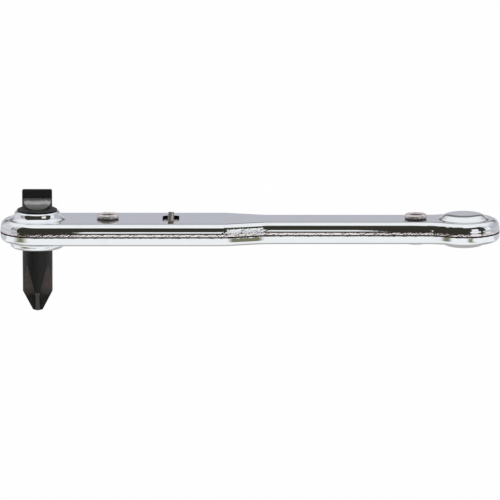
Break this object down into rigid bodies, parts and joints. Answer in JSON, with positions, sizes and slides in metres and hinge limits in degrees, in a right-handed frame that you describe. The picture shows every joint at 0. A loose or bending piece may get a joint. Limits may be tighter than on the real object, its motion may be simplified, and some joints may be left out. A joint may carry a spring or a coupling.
{
  "type": "offset ratcheting screwdriver",
  "caption": "Flat offset ratchet lever of two riveted chrome shells, with a double-ended slotted and cross-point bit across the head and a reversing slide.",
  "frame": {"origin": "on the bit's axis, where the round shank leaves the lower shell", "axes": "+X along the handle towards the tail, +Z along the bit towards the slotted blade, -Y faces the picture's viewer"},
  "size_m": [0.0998, 0.0148, 0.0247],
  "materials": {
    "chrome_plate": "bright chrome plate on pressed steel",
    "rivet_steel": "plated steel, a little duller than the shells",
    "black_oxide": "black oxide on tool steel",
    "hardened_steel": "hardened steel, lightly oiled",
    "spring_steel": "blued spring steel",
    "washer_brass": "plain brass",
    "selector_steel": "satin nickel"
  },
  "bodies": {
    "handle": {"upper_shell": "chrome_plate", "lower_shell": "chrome_plate", "front_rivet": "rivet_steel", "rear_rivet": "rivet_steel", "front_sleeve": "hardened_steel", "rear_sleeve": "hardened_steel", "selector_spring": "spring_steel"},
    "drive": {"driver_bit": "black_oxide", "drive_key": "hardened_steel", "ratchet_gear": "hardened_steel", "retaining_ring": "spring_steel", "thrust_washer": "washer_brass"},
    "rocker": {"pawl": "hardened_steel", "pawl_spring": "spring_steel"},
    "selector": {"selector_bar": "selector_steel", "selector_plate": "hardened_steel"}
  },
  "joints": [
    {"name": "bit_turn", "type": "hinge", "parent": "handle", "child": "drive", "pos_m": [0, 0, 0], "axis": [0, 0, 1], "continuous": true},
    {"name": "selector_slide", "type": "slide", "parent": "handle", "child": "selector", "axis": [1, 0, 0], "range_m": [-0.001, 0.001]},
    {"name": "pawl_rock", "type": "hinge", "parent": "handle", "child": "rocker", "pos_m": [0.0141, 0, 0], "axis": [0, 0, 1], "range_deg": [-3.5, 3.5]}
  ],
  "couplings": [
    {"joint": "pawl_rock", "follows": "selector_slide", "rad_per_m": 40.25}
  ]
}
